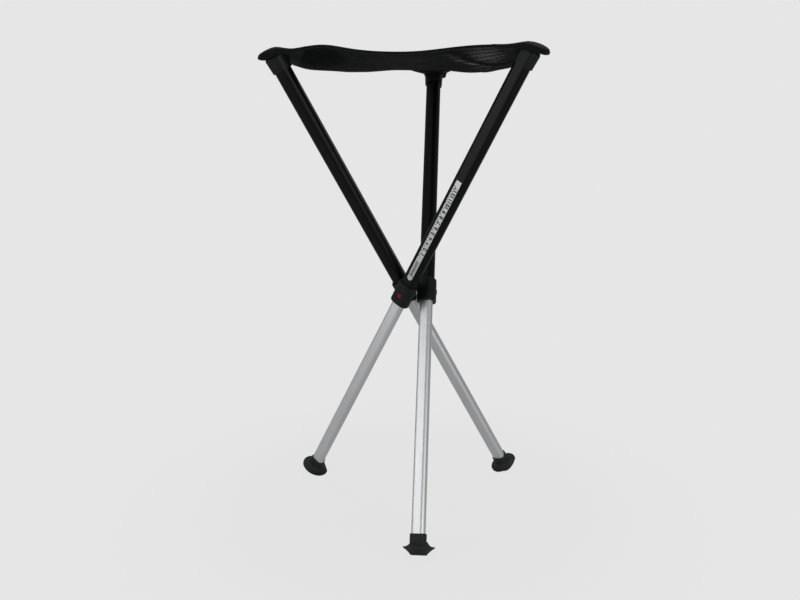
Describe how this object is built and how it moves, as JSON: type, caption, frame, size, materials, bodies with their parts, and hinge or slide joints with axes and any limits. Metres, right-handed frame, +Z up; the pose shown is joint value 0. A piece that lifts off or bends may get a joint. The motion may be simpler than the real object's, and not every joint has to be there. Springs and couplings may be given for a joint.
{
  "type": "folding tripod stool",
  "caption": "Folding tripod stool with telescopic legs that cross at a hub, a slung three-cornered fabric seat, lock buttons and wide rubber feet.",
  "frame": {"origin": "on the floor under the hub's axis, at the middle of the three feet, with the stool open and the legs drawn out", "axes": "+Z up along the hub's axis, +Y towards the top of the back leg, +X to the right seen from the front"},
  "size_m": [0.4423, 0.4766, 0.7525],
  "materials": {
    "black_aluminium": "satin black anodised",
    "silver_aluminium": "satin silver anodised",
    "black_plastic": "fine moulded grain",
    "washer_plastic": "smooth natural",
    "red_plastic": "smooth",
    "steel": "bright",
    "rubber": "satin moulded",
    "seat_fabric": "dense woven polyester, stitched",
    "seat_mesh": "open diagonal mesh",
    "edge_tape": "folded woven tape",
    "strip_metal": "brushed foil with a printed scale"
  },
  "bodies": {
    "hub": {"hub_core": "black_plastic", "seat_panel": "seat_mesh", "seat_binding": "edge_tape", "pivot_pin_back": "steel", "pivot_washer_back": "washer_plastic", "pivot_pin_right": "steel", "pivot_washer_right": "washer_plastic", "pivot_pin_left": "steel", "pivot_washer_left": "washer_plastic"},
    "upper_leg_back": {"collar_back": "black_plastic", "upper_tube_back": "black_aluminium", "top_cap_back": "black_plastic", "seat_corner_back": "seat_fabric"},
    "lower_leg_back": {"lower_tube_back": "silver_aluminium", "guide_bush_back": "washer_plastic", "lock_pin_back": "steel", "lock_spring_back": "steel", "foot_back": "rubber"},
    "button_back": {"lock_button_back": "red_plastic"},
    "upper_leg_right": {"collar_right": "black_plastic", "upper_tube_right": "black_aluminium", "top_cap_right": "black_plastic", "seat_corner_right": "seat_fabric", "scale_strip": "strip_metal"},
    "lower_leg_right": {"lower_tube_right": "silver_aluminium", "guide_bush_right": "washer_plastic", "lock_pin_right": "steel", "lock_spring_right": "steel", "foot_right": "rubber"},
    "button_right": {"lock_button_right": "red_plastic"},
    "upper_leg_left": {"collar_left": "black_plastic", "upper_tube_left": "black_aluminium", "top_cap_left": "black_plastic", "seat_corner_left": "seat_fabric"},
    "lower_leg_left": {"lower_tube_left": "silver_aluminium", "guide_bush_left": "washer_plastic", "lock_pin_left": "steel", "lock_spring_left": "steel", "foot_left": "rubber"},
    "button_left": {"lock_button_left": "red_plastic"}
  },
  "joints": [
    {"name": "fold_back", "type": "hinge", "parent": "hub", "child": "upper_leg_back", "pos_m": [0.0245, 0, 0.367], "axis": [1, 0, 0], "range_deg": [0, 30.2], "deforming": ["seat_panel", "seat_binding", "seat_corner_back", "seat_corner_right", "seat_corner_left"]},
    {"name": "fold_right", "type": "hinge", "parent": "hub", "child": "upper_leg_right", "pos_m": [-0.01225, -0.02122, 0.367], "axis": [-0.5, -0.866, 0], "range_deg": [0, 30.2]},
    {"name": "fold_left", "type": "hinge", "parent": "hub", "child": "upper_leg_left", "pos_m": [-0.01225, 0.02122, 0.367], "axis": [-0.5, 0.866, 0], "range_deg": [0, 30.2]},
    {"name": "extend_back", "type": "slide", "parent": "upper_leg_back", "child": "lower_leg_back", "axis": [0, 0.503, 0.8643], "range_m": [0, 0.368]},
    {"name": "press_back", "type": "slide", "parent": "upper_leg_back", "child": "button_back", "axis": [-1, 0, 0], "range_m": [0, 0.0018], "stiffness_N_per_m": 1500},
    {"name": "extend_right", "type": "slide", "parent": "upper_leg_right", "child": "lower_leg_right", "axis": [0.4356, -0.2515, 0.8643], "range_m": [0, 0.368]},
    {"name": "press_right", "type": "slide", "parent": "upper_leg_right", "child": "button_right", "axis": [0.5, 0.866, 0], "range_m": [0, 0.0018], "stiffness_N_per_m": 1500},
    {"name": "extend_left", "type": "slide", "parent": "upper_leg_left", "child": "lower_leg_left", "axis": [-0.4356, -0.2515, 0.8643], "range_m": [0, 0.368]},
    {"name": "press_left", "type": "slide", "parent": "upper_leg_left", "child": "button_left", "axis": [0.5, -0.866, 0], "range_m": [0, 0.0018], "stiffness_N_per_m": 1500}
  ],
  "couplings": [
    {"joint": "fold_right", "follows": "fold_back", "ratio": 1},
    {"joint": "fold_left", "follows": "fold_back", "ratio": 1}
  ]
}
